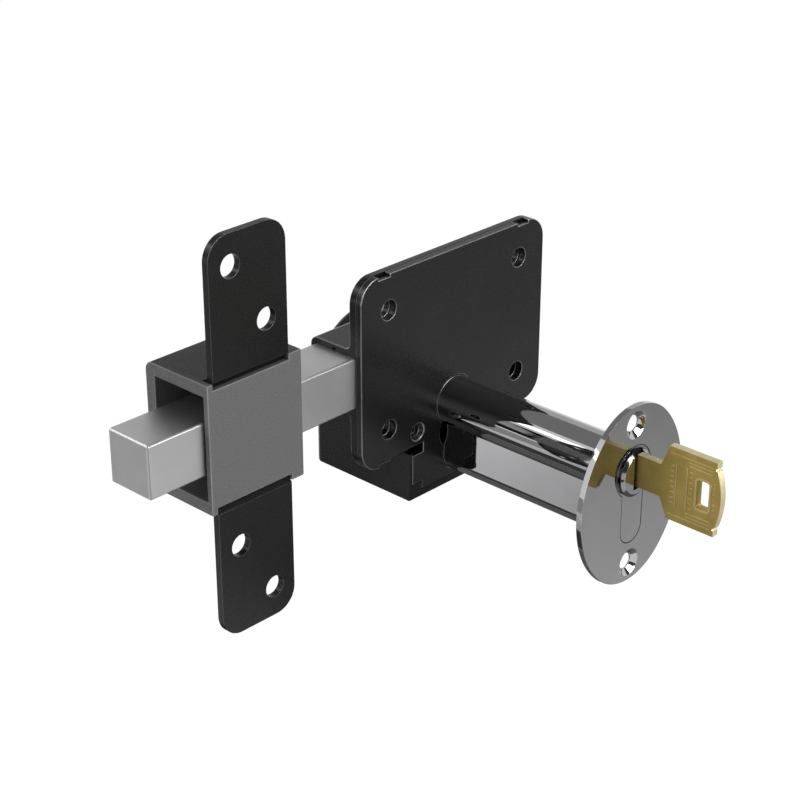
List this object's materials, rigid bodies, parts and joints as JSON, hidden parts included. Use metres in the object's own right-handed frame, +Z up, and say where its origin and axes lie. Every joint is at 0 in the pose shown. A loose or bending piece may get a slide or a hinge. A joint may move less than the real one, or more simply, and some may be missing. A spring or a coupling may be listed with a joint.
{
  "type": "long throw gate lock",
  "caption": "Long throw gate lock: square steel bolt in a rear case, keyed profile cylinder through the gate to an oval escutcheon, and a box keeper with flat ears.",
  "frame": {"origin": "where the cylinder's axis meets the front plate's outer face, the face that bears on the gate", "axes": "+X against the bolt's throw, along the bolt; +Y from the outside of the gate to the inside, along the cylinder; +Z up"},
  "size_m": [0.1686, 0.1546, 0.1294],
  "materials": {
    "plate_paint": "satin black powder coat",
    "case_paint": "satin black powder coat",
    "keeper_paint": "satin grey powder coat",
    "bolt_steel": "satin",
    "cylinder_chrome": "polished",
    "plug_chrome": "polished",
    "escutcheon_chrome": "polished",
    "key_brass": "satin",
    "pin_brass": "satin",
    "mechanism_steel": "satin",
    "spring_steel": "satin"
  },
  "bodies": {
    "lock": {"front_plate": "plate_paint", "lock_case": "case_paint", "cylinder_body": "cylinder_chrome", "inner_plug": "plug_chrome", "inner_plug_clip": "mechanism_steel", "outer_driver_pins": "pin_brass", "outer_pin_springs": "spring_steel", "inner_key_pins": "pin_brass", "inner_driver_pins": "pin_brass", "inner_pin_springs": "spring_steel", "chamber_plugs": "pin_brass", "cylinder_screw": "mechanism_steel", "escutcheon": "escutcheon_chrome", "keeper_housing": "keeper_paint", "keeper_upper_ear": "plate_paint", "keeper_lower_ear": "plate_paint"},
    "bolt_bar": {"bolt": "bolt_steel"},
    "cam": {"cog_cam": "mechanism_steel"},
    "plug": {"outer_plug": "plug_chrome", "outer_key_pins": "pin_brass", "outer_plug_clip": "mechanism_steel", "cam_clutch": "mechanism_steel"},
    "key": {"key": "key_brass"}
  },
  "joints": [
    {"name": "bolt_slide", "type": "slide", "parent": "lock", "child": "bolt_bar", "axis": [1, 0, 0], "range_m": [0, 0.07539]},
    {"name": "cam_turn", "type": "hinge", "parent": "lock", "child": "cam", "pos_m": [0, 0.0116, 0], "axis": [0, 1, 0], "range_deg": [0, 360]},
    {"name": "plug_turn", "type": "hinge", "parent": "lock", "child": "plug", "pos_m": [0, -0.0734, 0], "axis": [0, 1, 0], "range_deg": [0, 360]},
    {"name": "key_slide", "type": "slide", "parent": "plug", "child": "key", "axis": [0, -1, 0], "range_m": [0, 0.036]}
  ],
  "couplings": [
    {"joint": "cam_turn", "follows": "bolt_slide", "rad_per_m": 83.333},
    {"joint": "plug_turn", "follows": "bolt_slide", "rad_per_m": 83.333}
  ]
}
